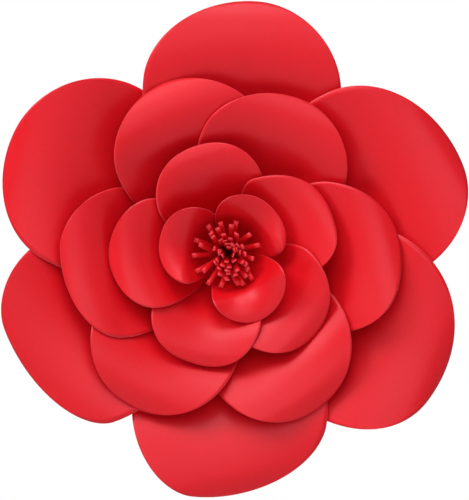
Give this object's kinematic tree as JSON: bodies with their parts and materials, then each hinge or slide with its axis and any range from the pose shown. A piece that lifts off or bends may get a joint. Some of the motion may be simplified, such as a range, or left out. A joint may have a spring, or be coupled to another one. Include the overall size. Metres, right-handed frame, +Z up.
{
  "type": "giant paper flower",
  "caption": "Large wall-hung paper flower: cupped card petals in overlapping rings that roll back at their rims, round a fringed coil, on a round card backing.",
  "frame": {"origin": "centre of the backing disc's rear face, which lies on the wall", "axes": "+Y out of the rear face into the wall, +Z up, and the flower faces -Y"},
  "size_m": [0.3755, 0.078, 0.3995],
  "materials": {
    "petal_card": "red dyed card, matt with a slight satin sheen",
    "backing_card": "red dyed board, matt",
    "fringe_card": "red dyed card, matt, cut into narrow strips"
  },
  "bodies": {
    "root": {"backing_disc": "backing_card", "outer_petal_1": "petal_card", "outer_petal_2": "petal_card", "outer_petal_3": "petal_card", "outer_petal_4": "petal_card", "outer_petal_5": "petal_card", "outer_petal_6": "petal_card", "second_petal_1": "petal_card", "second_petal_2": "petal_card", "second_petal_3": "petal_card", "second_petal_4": "petal_card", "second_petal_5": "petal_card", "second_petal_6": "petal_card", "third_petal_1": "petal_card", "third_petal_2": "petal_card", "third_petal_3": "petal_card", "third_petal_4": "petal_card", "third_petal_5": "petal_card", "inner_petal_1": "petal_card", "inner_petal_2": "petal_card", "inner_petal_3": "petal_card", "fringe_center": "fringe_card"}
  },
  "joints": []
}
